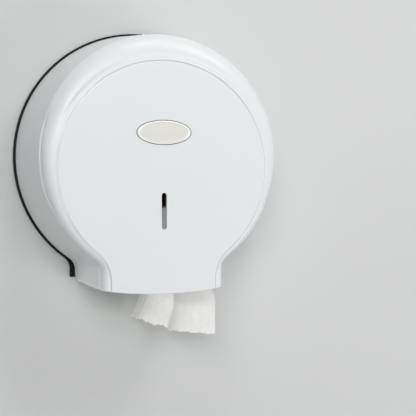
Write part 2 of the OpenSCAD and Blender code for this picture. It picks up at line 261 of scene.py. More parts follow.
def start_material(name, *patterns):
    """An empty node material with its noise patterns. Each pattern is given as its size in millimetres, its detail,
    its roughness and, where it is stretched, the scale along the three axes."""
    material = bpy.data.materials.new(name)
    material.use_nodes = True
    tree = material.node_tree
    tree.nodes.clear()
    place = add_node(tree, "ShaderNodeTexCoord", {}).outputs["Object"]
    noises = []
    for size, detail, roughness, *stretch in patterns:
        where = add_node(tree, "ShaderNodeMapping", {"Vector": place, "Scale": stretch}) if stretch else place
        inputs = {"Vector": where, "Scale": 1 / (size * MM), "Detail": detail, "Roughness": roughness}
        noises.append(add_node(tree, "ShaderNodeTexNoise", inputs))
    return material, place, *noises


def finish_material(material, tone, gloss, reliefs, constants):
    """Ends a material with its shader, whose own sockets take the constants. tone is a pattern with the two stops
    of its colour ramp, or a ready colour. gloss is a pattern with the least and the greatest roughness. reliefs are
    patterns with their strength and their depth in millimetres, the lowest first."""
    tree = material.node_tree
    if isinstance(tone, tuple):
        factor, *stops = tone
        tone = add_node(tree, "ShaderNodeValToRGB", {"Fac": factor}, ramp=stops)
    pattern, low, high = gloss
    roughness = add_node(tree, "ShaderNodeMapRange", {"Value": pattern, "To Min": low, "To Max": high})
    normal = {}
    for height, strength, depth in reliefs:
        relief = {"Height": height, "Strength": strength, "Distance": depth * MM}
        normal = {"Normal": add_node(tree, "ShaderNodeBump", relief | normal)}
    inputs = constants | {"Base Color": tone, "Roughness": roughness} | normal
    shader = add_node(tree, "ShaderNodeBsdfPrincipled", inputs)
    add_node(tree, "ShaderNodeOutputMaterial", {"Surface": shader})
    return material


def shade(colour, factor):
    return [min(1.0, c * factor) for c in colour[:3]] + [1.0]


def moulded_white_abs(colour):
    # A polished mould leaves a satin gloss; thick walls sink by a few microns in waves about 12 mm long, and the
    # resin's white drifts a little over 60 mm.
    material, _, cloud, sink = start_material("Injection-moulded white ABS", (60, 2, 0.5), (12, 1, 0.5))
    tone = (cloud, (0.0, shade(colour, 0.992)), (1.0, colour))
    constants = {"IOR": 1.5, "Specular IOR Level": 0.35}
    return finish_material(material, tone, (sink, 0.30, 0.32), [(sink, 0.3, 0.01)], constants)


def moulded_black_abs(colour):
    # Spark-eroded mould: an even fine grain, drawn at 0.8 mm so that it shows, and clouds of tone 45 mm long.
    name = "Injection-moulded black ABS, spark-eroded"
    material, _, grain, cloud = start_material(name, (0.8, 3, 0.6), (45, 2, 0.5))
    tone = (cloud, (0.35, colour), (0.65, shade(colour, 1.5)))
    constants = {"IOR": 1.5, "Specular IOR Level": 0.25}
    return finish_material(material, tone, (grain, 0.38, 0.55), [(grain, 0.5, 0.06)], constants)


def lacquered_badge_with_rim_highlight(colour, rim):
    # Cream lacquer over a stamped plate, with a slow flow 12 mm long in it, and a white band near the rim that is a
    # painted highlight of the rim's rounded edge.
    material, place, flow = start_material("Lacquered stamped aluminium, cream", (12, 2, 0.5))
    tree = material.node_tree
    stops = ((0.2, shade(colour, 0.992)), (0.8, shade(colour, 1.006)))
    cream = add_node(tree, "ShaderNodeValToRGB", {"Fac": flow}, ramp=stops)
    # The oval is stretched to a circle of radius 1, so that the distance from its middle finds the rim.
    wide, high = BADGE_WIDTH / 2, BADGE_HEIGHT / 2
    to_circle = {"Vector": place, "Location": (0, 0, -BADGE_Z / high), "Scale": (1 / wide, 0, 1 / high)}
    on_circle = add_node(tree, "ShaderNodeMapping", to_circle)
    out = add_node(tree, "ShaderNodeVectorMath", {"Vector": on_circle}, {"operation": "LENGTH"}).outputs["Value"]
    # From 0.88 to 0.93 of the way out the colour turns to the rim colour, white: a painted highlight along the rim.
    edge = add_node(tree, "ShaderNodeValToRGB", {"Fac": out}, ramp=((0.88, (0, 0, 0, 1)), (0.93, (1, 1, 1, 1))))
    # Sockets 0, 6 and 7 are the colour mix's factor and its two colours, output 2 is its colour.
    tone = add_node(tree, "ShaderNodeMix", {0: edge, 6: cream, 7: rim}, {"data_type": "RGBA"}).outputs[2]
    constants = {"IOR": 1.5, "Coat Weight": 0.6, "Coat Roughness": 0.08}
    return finish_material(material, tone, (flow, 0.26, 0.30), [(flow, 0.2, 0.01)], constants)


def gap_shade_paint(colour):
    # Dark grey in the recess, which paints the shade of the gap round the badge: matt, with an uneven cover in spots
    # of 1.2 mm.
    material, _, spots = start_material("Dark grey paint for the gap's shade", (1.2, 3, 0.5))
    tone = (spots, (0.35, shade(colour, 0.85)), (0.65, shade(colour, 1.12)))
    return finish_material(material, tone, (spots, 0.45, 0.6), [], {"IOR": 1.45})


def tissue_sheet(colour):
    # Creped tissue: fine cross ridges every 0.5 mm or so, drawn at 0.9 mm, over a soft fibrous cloud of 6 mm.
    ridged, clouded = (0.9, 2, 0.6, 1.0, 0.12, 1.0), (6, 4, 0.7)
    material, _, crepe, fibres = start_material("Creped tissue paper", ridged, clouded)
    tone = (fibres, (0.35, shade(colour, 0.95)), (0.65, shade(colour, 1.03)))
    soft = {"Sheen Weight": 0.2, "Sheen Roughness": 0.5, "Subsurface Weight": 0.6, "Subsurface Scale": 6 * MM}
    constants = soft | {"IOR": 1.4, "Specular IOR Level": 0.15, "Subsurface Radius": (1.0, 1.0, 1.0)}
    reliefs = [(crepe, 0.45, 0.1), (fibres, 0.25, 0.3)]
    return finish_material(material, tone, (fibres, 0.85, 0.97), reliefs, constants)


def wound_tissue(colour):
    # The roll's ends show its turns as fine rings, and its outside the crepe. To show at all, the rings are drawn
    # 1.8 mm apart and the crepe at 1.2 mm.
    material, place, crepe = start_material("Wound tissue roll", (1.2, 3, 0.6))
    tree = material.node_tree
    on_axis = {"Vector": place, "Location": (0, 0, -ROLL_Z), "Scale": (1, 0, 1)}
    axis = add_node(tree, "ShaderNodeMapping", on_axis)
    # At a scale of 1 the texture's rings lie 2 pi / 20 apart.
    uneven = {"Vector": axis, "Distortion": 0.6, "Detail": 2, "Detail Scale": 60.0}
    inputs = uneven | {"Scale": 2 * math.pi / (20 * 1.8 * MM)}
    kind = {"wave_type": "RINGS", "rings_direction": "SPHERICAL"}
    rings = add_node(tree, "ShaderNodeTexWave", inputs, kind).outputs["Fac"]
    tone = (rings, (0.1, shade(colour, 0.86)), (0.7, colour))
    soft = {"Sheen Weight": 0.2, "Subsurface Weight": 0.15, "Subsurface Scale": 3 * MM}
    constants = soft | {"IOR": 1.4, "Specular IOR Level": 0.12}
    return finish_material(material, tone, (crepe, 0.88, 0.98), [(rings, 0.6, 0.2), (crepe, 0.4, 0.12)], constants)


def wound_board(colour):
    # Grey board wound in plies: flecked fibres, drawn at 1.6 mm so that they show, and clouds of gloss 18 mm long.
    material, _, fibres, cloud = start_material("Spirally wound cardboard", (1.6, 5, 0.7), (18, 3, 0.5))
    tone = (fibres, (0.3, shade(colour, 0.75)), (0.7, shade(colour, 1.15)))
    constants = {"IOR": 1.45, "Specular IOR Level": 0.15}
    return finish_material(material, tone, (cloud, 0.8, 0.95), [(fibres, 0.5, 0.15)], constants)


def plain_metal(name, hex_colour, roughness, scratch):
    # Zinc plate or die-cast chrome: a light drag of fine scratches along the piece, drawn about 1 mm apart so that
    # they show, and clouds of tone 5 mm long.
    material, _, lines, cloud = start_material(name, (scratch, 3, 0.6, 1.0, 1.0, 0.08), (5, 3, 0.5))
    colour = linear(hex_colour)
    tone = (cloud, (0.35, shade(colour, 0.92)), (0.65, shade(colour, 1.05)))
    gloss = (lines, roughness * 0.75, roughness * 1.3)
    return finish_material(material, tone, gloss, [(lines, 0.5, 0.01)], {"Metallic": 1.0})


def moulded_acetal(hex_colour):
    # Waxy white, with soft clouds of 10 mm in its gloss.
    material, _, cloud = start_material("Moulded acetal, natural white", (10, 2, 0.5))
    colour = linear(hex_colour)
    tone = (cloud, (0.35, shade(colour, 0.96)), (0.65, shade(colour, 1.02)))
    constants = {"IOR": 1.48, "Subsurface Weight": 0.15, "Subsurface Scale": 3 * MM}
    return finish_material(material, tone, (cloud, 0.35, 0.45), [(cloud, 0.3, 0.04)], constants)


def painted_plaster(colour):
    # Matt emulsion with a faint cloud of 400 mm. Its back lets light and sight through, so that the object can be
    # looked at from behind.
    material, _, cloud = start_material("Matt painted plaster", (400, 2, 0.5))
    tree = material.node_tree
    stops = ((0.35, shade(colour, 0.99)), (0.65, shade(colour, 1.005)))
    tone = add_node(tree, "ShaderNodeValToRGB", {"Fac": cloud}, ramp=stops)
    looks = {"Base Color": tone, "Roughness": 0.9, "Specular IOR Level": 0.1}
    paint = add_node(tree, "ShaderNodeBsdfPrincipled", looks)
    clear = add_node(tree, "ShaderNodeBsdfTransparent", {})
    behind = add_node(tree, "ShaderNodeNewGeometry", {}).outputs["Backfacing"]
    both = add_node(tree, "ShaderNodeMixShader", {0: behind, 1: paint, 2: clear})
    add_node(tree, "ShaderNodeOutputMaterial", {"Surface": both})
    return material


def material_for(key, make, *args):
    """One material by its short key, made on first use."""
    scene_key = "finish_" + key
    scene = bpy.context.scene
    if scene_key not in scene:
        scene[scene_key] = make(*args).name
    return bpy.data.materials[scene[scene_key]]


# ---------------------------------------------------------------- cover outline


def arc(cx, cz, radius, start, end, steps):
    """Points (x, z) on an arc, from one angle in degrees to another."""
    angles = [math.radians(mix(start, end, i / steps)) for i in range(steps + 1)]
    return [(cx + radius * math.cos(a), cz + radius * math.sin(a)) for a in angles]


def open_outline(s, radius, drop, half, fillet, bottom):
    """The round and its neck as (x, z), from the neck's left bottom end over the top to its right one."""
    neck_steps, fillet_steps = 7, 16
    fx = half + fillet
    fz = -drop - math.sqrt((radius + fillet) ** 2 - fx**2)
    turn = math.degrees(math.atan2(-drop - fz, fx))
    left = [(-half, mix(-bottom, fz, i / neck_steps)) for i in range(neck_steps)]
    left += arc(-fx, fz, fillet, 0, turn, fillet_steps)
    over = arc(0, -drop, radius, 180 + turn, -turn, s.round_steps)[1:-1]
    return left + over + [(-x, z) for x, z in reversed(left)]


def bowed_bottom(s, x):
    """Depth of the front's bottom edge at x."""
    front_half = s.neck_half - s.neck_draft - s.ledge_width
    return s.neck_bottom + s.lip_bow * max(0.0, 1 - (x / front_half) ** 2)


def side_bottom(s, y):
    """Depth of the side walls' bottom edge: a rounded rear corner round the hinge, then scalloped teeth."""
    corner, lift = 0.008, 0.002
    axis_y = s.rear_y + corner
    if y < axis_y:
        return s.neck_bottom - lift - corner + math.sqrt(max(0.0, corner**2 - (axis_y - y) ** 2))
    first = axis_y + 0.8 * s.tooth_pitch
    if y < first:
        return mix(s.neck_bottom - lift, s.neck_bottom, (y - axis_y) / (first - axis_y))
    count = int((s.ledge_y - first) / s.tooth_pitch)
    if y > first + count * s.tooth_pitch:
        return s.neck_bottom
    phase = ((y - first) / s.tooth_pitch) % 1
    return s.neck_bottom - s.tooth_height * math.sin(math.pi * phase) ** 0.8


# Shares of the band from the ledge (0) to the groove (1) at which the shoulder has a ring.
SHOULDER_SHARES = (
    0, 0.004, 0.012, 0.025, 0.045, 0.07, 0.10, 0.135, 0.17, 0.21, 0.25, 0.29, 0.335, 0.38, 0.425, 0.47, 0.515, 0.56,
    0.60, 0.62, 0.64, 0.655, 0.67, 0.685, 0.70, 0.715, 0.73, 0.745, 0.76, 0.775, 0.79, 0.805, 0.825, 0.85, 0.88, 0.91,
    0.935, 0.955, 0.97, 0.982, 0.99,
)
# Rounded outer corner of the ledge, then groove and panel rim, as (share, height over the ledge in metres).
LEDGE_CORNER = (
    (-0.121, -0.0010), (-0.117, -0.0005), (-0.106, -0.0001), (-0.085, 0.0001), (-0.05, 0.0002), (-0.015, 0.0003),
)
PANEL_RIM = ((1.030, 0.0129), (1.045, 0.0133), (1.065, 0.0135), (1.10, 0.0136))
# The shoulder is fuller towards the neck and the top: (gain, first angle, degrees over which the gain comes in).
# Angles are those of the round, 0 at its sides and 90 at its top.
LEAST_FULLNESS = 1.15
FULLNESS_GAINS = ((1.75, 32, -30), (0.15, -5, -30), (0.9, -42, -16), (0.2, 50, 30))
# The groove is deepest at the top and by the neck, in the same terms.
LEAST_GROOVE = 0.0002
GROOVE_GAINS = ((0.0007, 12, 35), (0.0006, -22, -14))
# Height of the shoulder's foot, of its roll and of the low lip by the groove, and the roll's greatest width.
SHOULDER_FOOT, SHOULDER_ROLL, SHOULDER_LIP, SHOULDER_WIDEST = 0.0004, 0.0128, 0.0004, 0.019
# Width of the band at which the crescent comes in over the top, and how much wider it is where that's complete.
CRESCENT_FROM, CRESCENT_OVER = 0.0200, 0.0030
# The crescent's fine step: how far its foot is from the groove, how wide and how high it is, and how much the
# roll under it is lower than elsewhere.
STEP_FOOT, STEP_WIDTH, STEP_HEIGHT, STEP_DROP = 0.0080, 0.0033, 0.0023, 0.0017


def around_round(point):
    """Angle of a point of the outline, in degrees over the axis."""
    x, z = point
    return math.degrees(math.atan2(z, abs(x)))


def gained(least, gains, angle):
    return least + sum(gain * eased((angle - first) / over) for gain, first, over in gains)


def roll_over(distance, width, fullness):
    """Share of the shoulder's height at a distance from its start: 1 is a slope that flattens out, 2 a round."""
    left = 1 - clamp(distance / width)
    return (1 - left**2) ** (1 / fullness)


def ledge_share(point):
    """How much of the ledge is there: all of it at the sides, most of it low on the neck, and none over the top
    and in the hollow corners."""
    neck_top, neck_ease = 0.105, 0.016
    if point[1] < -neck_top:
        return 0.7 * eased((-point[1] - neck_top) / neck_ease)
    angle = around_round(point)
    return eased((25 - angle) / 12) * eased((angle + 29) / 11)


def shoulder_height(here, outer, near, far, share, ledge_height):
    """Height of the shoulder over the ledge. Over the top, where the band is wide, a fine moulded step leaves a flat
    crescent above the panel. Where the ledge fades the roll starts at the side wall."""
    angle = around_round(near)
    fullness = gained(LEAST_FULLNESS, FULLNESS_GAINS, angle)
    band, distance = math.dist(near, far), math.dist(here, near)
    crescent = eased((band - CRESCENT_FROM) / CRESCENT_OVER)
    foot, top = band - STEP_FOOT, SHOULDER_ROLL - STEP_DROP * crescent
    width = mix(min(SHOULDER_WIDEST, 1.08 * band), foot, crescent)
    stepped = ledge_height if share < 0 else SHOULDER_FOOT + top * roll_over(distance, width, fullness)
    # Without a ledge the roll starts at the outer corner, which lies lower, and ends at the same height.
    corner = LEDGE_CORNER[0][1]
    rolled = roll_over(math.dist(here, outer), width + math.dist(near, outer), fullness)
    plain = corner + (top + SHOULDER_FOOT - corner) * rolled
    height = mix(plain, stepped, ledge_share(near))
    if share > 0:
        rise = clamp((distance - foot) / STEP_WIDTH)
        height += STEP_HEIGHT * crescent * (rise + eased(rise)) / 2
    height += SHOULDER_LIP * eased((share - 0.90) / 0.05) * (1 - eased((share - 0.97) / 0.02))
    if share > 0.985:
        height -= gained(LEAST_GROOVE, GROOVE_GAINS, angle) * eased((share - 0.985) / 0.012)
    return height


def cover_stations(s):
    """Sections of the cover from the rear edge to the panel's rim. Each holds its outer and inner numbers
    (radius, drop, half neck, hollow corner) and its distance from the wall, or its share of the shoulder."""
    # The inside of the side wall ends behind the ledge, and its last ring outside lies where the corner starts.
    inner_end, side_end = s.ledge_y - 0.005, s.ledge_y - 0.0016
    side_ys = [s.rear_y + d * MM for d in (0, 1, 2.2, 3.6, 5.2, 6.6, 8, 10, 12, 14)]
    y = s.rear_y + 16 * MM
    while y < side_end - 0.6 * MM:
        side_ys.append(y)
        y += s.tooth_pitch / 6
    side_ys.append(side_end)

    def side_section(y, inset=0.0):
        share = (y - s.rear_y) / (s.ledge_y - s.rear_y)
        return (
            s.cover_radius - s.side_draft * share - inset,
            0,
            s.neck_half - s.neck_draft * share - inset,
            s.corner_radius + inset,
        )

    ledge_r, ledge_half = s.cover_radius - s.side_draft, s.neck_half - s.neck_draft
    band = ledge_r - s.ledge_width - s.panel_radius

    def shoulder_section(share, inset=0.0):
        held = clamp(share)
        return (
            ledge_r - s.ledge_width - band * share - inset,
            s.panel_drop * held,
            mix(ledge_half - s.ledge_width, s.panel_neck_half, share) - inset,
            mix(s.corner_radius, s.panel_corner_radius, held) + inset,
        )

    stations = []
    for y in side_ys:
        inner_y = min(y, inner_end)
        sections = {"outer": side_section(y), "inner": side_section(inner_y, s.wall)}
        stations.append(sections | {"y": y, "inner_y": inner_y, "bottom": side_bottom(s, y)})
    lean_start, lean_range = -0.11, 0.8
    rows = LEDGE_CORNER + tuple((share, None) for share in SHOULDER_SHARES + (1.0, 1.016)) + PANEL_RIM
    for share, height in rows:
        # The wall's thickness leans from sideways outside the ledge to straight back well up the shoulder.
        lean = clamp((share - lean_start) / lean_range)
        stations.append(
            {
                "y": s.ledge_y + height if share > 1.02 else None,
                "ledge_height": height,
                "share": share,
                "outer": shoulder_section(share),
                "edge": shoulder_section(LEDGE_CORNER[0][0]),
                "ledge": shoulder_section(0.0),
                "groove": shoulder_section(1.0),
                "inner": shoulder_section(max(share, 0.0), s.wall * math.cos(lean * math.pi / 2)),
                "behind": s.wall * math.sin(lean * math.pi / 2) + 0.001 * (1 - lean),
                "least_inner_y": inner_end + 0.004 * lean,
                "bottom": None,
            }
        )
    return stations


def outline_at(s, station, key, half=None):
    radius, drop, own_half, fillet = station[key]
    bottom = station["bottom"]
    if bottom is None:
        bottom = bowed_bottom(s, own_half if half is None else half)
    return open_outline(s, radius, drop, own_half, fillet, bottom)


def station_ring(s, station, inner=False):
    """The section's points in space. Where the bottom is free it follows the front's bow."""
    outline = outline_at(s, station, "outer")
    if "share" not in station:
        if inner:
            return [Vector((x, -station["inner_y"], z)) for x, z in outline_at(s, station, "inner")]
        return [Vector((x, -station["y"], z)) for x, z in outline]
    depths = []
    if station["y"] is None:
        lines = [outline_at(s, station, key) for key in ("edge", "ledge", "groove")]
        for here, outer, near, far in zip(outline, *lines):
            height = shoulder_height(here, outer, near, far, station["share"], station["ledge_height"])
            depths.append(s.ledge_y + height)
    else:
        depths = [station["y"]] * len(outline)
    if not inner:
        return [Vector((x, -y, z)) for (x, z), y in zip(outline, depths)]
    inside = outline_at(s, station, "inner", station["outer"][2])
    return [
        Vector((x, -max(station["least_inner_y"], y - station["behind"]), z)) for (x, z), y in zip(inside, depths)
    ]


def panel_ring(s, last, share, inner=False):
    """A closed ring of the front panel: its outline and its bottom edge, drawn in by a share and crowned."""
    bottom_steps = 48
    ring = station_ring(s, last, inner)
    half = ring[-1].x
    y = -ring[0].y
    for i in range(1, bottom_steps):
        x = mix(half, -half, i / bottom_steps)
        ring.append(Vector((x, -y, -bowed_bottom(s, x * last["outer"][2] / half))))
    centre = Vector((0, -y, -s.panel_drop))
    crown = (s.panel_y - last["y"]) * (1 - share**2)
    return [centre + (p - centre) * share - Vector((0, crown, 0)) for p in ring]


def number_ring(obj):
    """Numbers the vertices of a fresh ring. Extruding and duplicating carry the numbers along."""
    edit_all(obj)
    bpy.ops.mesh.select_mode(type="VERT")
    mesh = bmesh.from_edit_mesh(obj.data)
    number = mesh.verts.layers.int.new("number")
    level = mesh.verts.layers.int.new("level")
    for i, vertex in enumerate(mesh.verts):
        vertex[number] = i
        vertex[level] = 0
    bmesh.update_edit_mesh(obj.data)


def place_selected(obj, points, level_number=None):
    """Moves each selected vertex to the point of its number. Points may be a list, or one list for each level."""
    mesh = bmesh.from_edit_mesh(obj.data)
    number, level = mesh.verts.layers.int["number"], mesh.verts.layers.int["level"]
    for vertex in mesh.verts:
        if vertex.select:
            if level_number is None:
                vertex.co = points[vertex[level]][vertex[number]]
            else:
                vertex[level] = level_number
                vertex.co = points[vertex[number]]
    bmesh.update_edit_mesh(obj.data)


def select_edges(obj, wanted):
    """Selects the edges for which wanted(edge, numbers of its ends, levels of its ends) holds."""
    bpy.ops.mesh.select_mode(type="EDGE")
    bpy.ops.mesh.select_all(action="DESELECT")
    mesh = bmesh.from_edit_mesh(obj.data)
    number, level = mesh.verts.layers.int["number"], mesh.verts.layers.int["level"]
    for edge in mesh.edges:
        a, b = edge.verts
        if wanted(edge, (a[number], b[number]), (a[level], b[level])):
            edge.select = True
    mesh.select_flush_mode()
    bmesh.update_edit_mesh(obj.data)


def extrude_edges(obj, points, level_number):
    bpy.ops.mesh.extrude_edges_move()
    place_selected(obj, points, level_number)


def close_ring(obj):
    """Bridges the two open edges of a skin and leaves edit mode."""
    select_edges(obj, lambda edge, numbers, levels: edge.is_boundary)
    bpy.ops.mesh.bridge_edge_loops()
    face_outwards(obj)


def stacked_rings(name, rings, radius, centre, filled=False):
    """A closed piece from a circle that is extruded from ring to ring. A filled one is a solid, and the last ring
    of any other is bridged to its first."""
    deselect()
    bpy.ops.mesh.primitive_circle_add(
        vertices=len(rings[0]),
        radius=radius,
        fill_type="NGON" if filled else "NOTHING",
        location=centre,
        rotation=(math.pi / 2, 0, 0),
    )
    obj = new_piece(name)
    number_ring(obj)
    for k, ring in enumerate(rings):
        if k and filled:
            bpy.ops.mesh.extrude_region_move()
        elif k:
            bpy.ops.mesh.extrude_edges_move()
        place_selected(obj, ring, k)
    if filled:
        face_outwards(obj)
    else:
        close_ring(obj)
    return obj


# Shares by which the panel's rings are drawn in, one after another.
PANEL_SHARES = (0.985, 0.96, 0.9, 0.8, 0.7, 0.6, 0.5, 0.4, 0.3, 0.2, 0.12, 0.06, 0.02)


def build_shell(s):
    """The cover's wall as one closed skin. It starts as the front panel's rim, which is extruded inwards over the
    panel and outwards over shoulder, ledge and side wall, then copied for the inside and bridged."""
    rim, *stations = reversed(cover_stations(s))
    rim_ring = panel_ring(s, rim, 1.0)
    open_count = len(station_ring(s, rim))
    deselect()
    bpy.ops.mesh.primitive_circle_add(
        vertices=len(rim_ring),
        radius=s.panel_radius,
        fill_type="NOTHING",
        location=(0, -s.panel_y, -s.panel_drop),
        rotation=(math.pi / 2, 0, 0),
    )
    shell = new_piece("cover_shell")
    number_ring(shell)
    place_selected(shell, rim_ring, 0)
    # Where each level's ring goes on the inside. The panel's levels count from 1000.
    inside = {0: panel_ring(s, rim, 1.0, True)}
    for k, share in enumerate(PANEL_SHARES, 1000):
        extrude_edges(shell, panel_ring(s, rim, share), k)
        inside[k] = panel_ring(s, rim, share, True)
    bpy.ops.mesh.edge_face_add()

    def over_the_top(edge, numbers, levels):
        low, high = sorted(numbers)
        return levels == (0, 0) and high == low + 1 and high < open_count

    select_edges(shell, over_the_top)
    for k, station in enumerate(stations, 1):
        extrude_edges(shell, station_ring(s, station), k)
        inside[k] = station_ring(s, station, True)
    bpy.ops.mesh.select_all(action="SELECT")
    bpy.ops.mesh.duplicate()
    bpy.ops.mesh.flip_normals()
    place_selected(shell, inside)
    close_ring(shell)
    return shell


def round_rims(obj, s):
    """Rounds the rear rim, the teeth and the front's bottom edge, where the mould parts."""
    sharp, rounding, hair = math.radians(50), 0.0007, 0.0001
    bottom_reach, side_reach, ledge_reach = 0.0115, 0.001, 0.003

    def at_the_parting(edge, numbers, levels):
        if len(edge.link_faces) != 2 or edge.calc_face_angle() <= sharp:
            return False
        middle = (edge.verts[0].co + edge.verts[1].co) / 2
        at_rear = -middle.y < s.rear_y + hair
        at_bottom = middle.z < -s.neck_bottom + bottom_reach and abs(middle.x) < s.neck_half + side_reach
        ledge_side = s.neck_half - s.neck_draft - ledge_reach
        near_ledge = abs(-middle.y - s.ledge_y) < rounding and abs(middle.x) > ledge_side
        return at_rear or (at_bottom and not near_ledge)

    edit_all(obj)
    select_edges(obj, at_the_parting)
    bpy.ops.mesh.bevel(offset=rounding, segments=3, profile=0.5, affect="EDGES", clamp_overlap=True)
    bpy.ops.object.mode_set(mode="OBJECT")


def stadium_cutter(name, width, height, top, front, back, chamfer):
    """An upright slot cutter with round ends that flares out at the front face."""
    r, steps = width / 2, 24
    outline = arc(0, -top - r, r, 0, 180, steps) + arc(0, r - top - height, r, 180, 360, steps)
    return outline_cutter(name, outline, (0, -top - height / 2), front, back, chamfer)


def outline_cutter(name, outline, centre, front, back, chamfer):
    """A closed prism along Y with its front end flared by the chamfer."""
    count = len(outline)
    normals = []
    for i in range(count):
        (ax, az), (bx, bz) = outline[i - 1], outline[(i + 1) % count]
        normal = Vector((bz - az, ax - bx)).normalized()
        away = Vector((outline[i][0] - centre[0], outline[i][1] - centre[1]))
        normals.append(normal if normal.dot(away) > 0 else -normal)
    # (distance from the wall, how far the outline has grown there), from the back to past the front face.
    levels = [(back, 0.0), (front - 2 * chamfer, 0.0), (front - chamfer, 0.25 * chamfer)]
    levels += [(front, chamfer), (front + 0.003, chamfer)]
    grown = [[(x + n.x * grow, z + n.y * grow) for (x, z), n in zip(outline, normals)] for y, grow in levels]
    rings = [[Vector((x, -y, z)) for x, z in ring] for ring, (y, _) in zip(grown, levels)]
    return stacked_rings(name, rings, math.dist(outline[0], centre), (centre[0], -back, centre[1]), True)


def badge_oval(inset):
    """The badge's outline as (x, z), drawn in by the inset."""
    wide, high = BADGE_WIDTH / 2 - inset, BADGE_HEIGHT / 2 - inset
    turns = [2 * math.pi * i / OVAL_SIDES for i in range(OVAL_SIDES)]
    return [(wide * math.cos(turn), BADGE_Z + high * math.sin(turn)) for turn in turns]


class DISPENSER_OT_cover(Operator):
    """Builds the white cover: drafted round and neck, ledge, shoulder, groove, panel, slot, recess and teeth"""

    bl_idname = "dispenser.cover"
    bl_label = "Front cover"

    def execute(self, context):
        s, c = context.scene.dispenser_sizes, context.scene.dispenser_colours
        shell = build_shell(s)
        round_rims(shell, s)
        # The slot reaches back to behind the panel, and its rim and the recess's are flared a little.
        front, slot_back, slot_flare, recess_flare = s.panel_y - 0.0001, 0.105, 0.0004, 0.0003
        slot = (s.slot_width, s.slot_height, s.slot_top)
        cut(shell, stadium_cutter("slot_cutter", *slot, front, slot_back, slot_flare))
        recess = (badge_oval(-RECESS_GAP), (0, BADGE_Z))
        cut(shell, outline_cutter("recess_cutter", *recess, front, s.panel_y - RECESS_DEPTH, recess_flare))
        self.fit_lock(shell)
        self.fit_hinge(shell)
        face_outwards(shell)
        smooth(shell, 32)
        dress(shell, material_for("shell", moulded_white_abs, c.shell), "cover", "cover_plastic", "front_cover")
        return {"FINISHED"}

    def fit_lock(self, shell):
        """Adds the boss under the lock's flange, then the flange's pocket and the housing's bore."""
        low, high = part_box("lock_housing")
        x, y = (low[0] + high[0]) / 2, (low[1] + high[1]) / 2
        flange = 0.0016
        seat = high[2] - flange
        # How it is joined, its name, its radius, and its lower and upper end.
        for join, name, radius, first, last in (
            (weld, "lock_boss", 0.0116, seat - 0.008, seat - 0.0002),
            (cut, "lock_pocket", 0.0095, seat, seat + 0.02),
            (cut, "lock_bore", 0.0073, seat - 0.02, seat + 0.01),
        ):
            join(shell, cylinder(name, radius, (x, y, first), (x, y, last)))

    def fit_hinge(self, shell):
        """Adds a bored boss for the hinge pin at each lower rear corner."""
        low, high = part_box("hinge_pins")
        pin_end, y, z = high[0], (low[1] + high[1]) / 2, (low[2] + high[2]) / 2
        for side in (-1, 1):
            # How it is joined, its name, its radius, and its inner and outer end.
            for join, name, radius, first, last in (
                (weld, "hinge_boss", 0.0067, pin_end - 0.0055, pin_end - 0.0003),
                (cut, "hinge_bore", 0.00255, pin_end - 0.0075, pin_end + 0.0003),
            ):
                join(shell, cylinder(name, radius, (side * first, y, z), (side * last, y, z), 48))


# The badge's face as (drawn in, sunk) in millimetres: a rounded rim, a shallow valley and a crowned middle.
BADGE_FACE = ((0.9, 0.1), (1.6, 0), (2.3, 0.2), (3.0, 0.4), (4.0, 0.45), (6.0, 0.3), (8.5, 0.15), (11.2, 0.05))


class DISPENSER_OT_badge(Operator):
    """Builds the oval badge and the dark ring round it, which paints the shade in its gap"""

    bl_idname = "dispenser.badge"
    bl_label = "Oval badge"

    def execute(self, context):
        s, c = context.scene.dispenser_sizes, context.scene.dispenser_colours
        panel, floor, face = s.panel_y, s.panel_y - RECESS_DEPTH, -BADGE_LOW[1]
        # Levels are (drawn in, distance from the wall).
        levels = [(0.0, floor), (0.0, panel - 0.0002), (0.0003, panel + 0.0002)]
        levels += [(inset * MM, face - sunk * MM) for inset, sunk in BADGE_FACE]
        plate = self.stacked_ovals("badge_plate", levels, True)
        smooth(plate, 60)
        # The white is the painted highlight along the badge's rim.
        lacquer = material_for("badge", lacquered_badge_with_rim_highlight, c.badge, linear("#FFFFFF"))
        dress(plate, lacquer, "cover", "badge_plastic", "oval_badge")
        # The dark line is painted shade: it fills the gap round the badge, with a low crown, and reaches 0.05 mm into
        # the badge's side.
        gap_end, overlap = -0.00058, 0.00005
        levels = [(gap_end, floor), (gap_end, panel - 0.0005), (-0.0003, panel - 0.0003)]
        levels += [(overlap, panel - 0.0004), (overlap, floor)]
        line = self.stacked_ovals("badge_gap_shade", levels, False)
        smooth(line, 40)
        dress(line, material_for("outline", gap_shade_paint, c.outline), "cover", "badge_plastic")
        return {"FINISHED"}

    def stacked_ovals(self, name, levels, filled):
        """A closed plate, or a closed line, that follows the badge's outline from level to level."""
        rings = [[Vector((x, -y, z)) for x, z in badge_oval(inset)] for inset, y in levels]
        return stacked_rings(name, rings, BADGE_WIDTH / 2, (0, rings[0][0].y, BADGE_Z), filled)


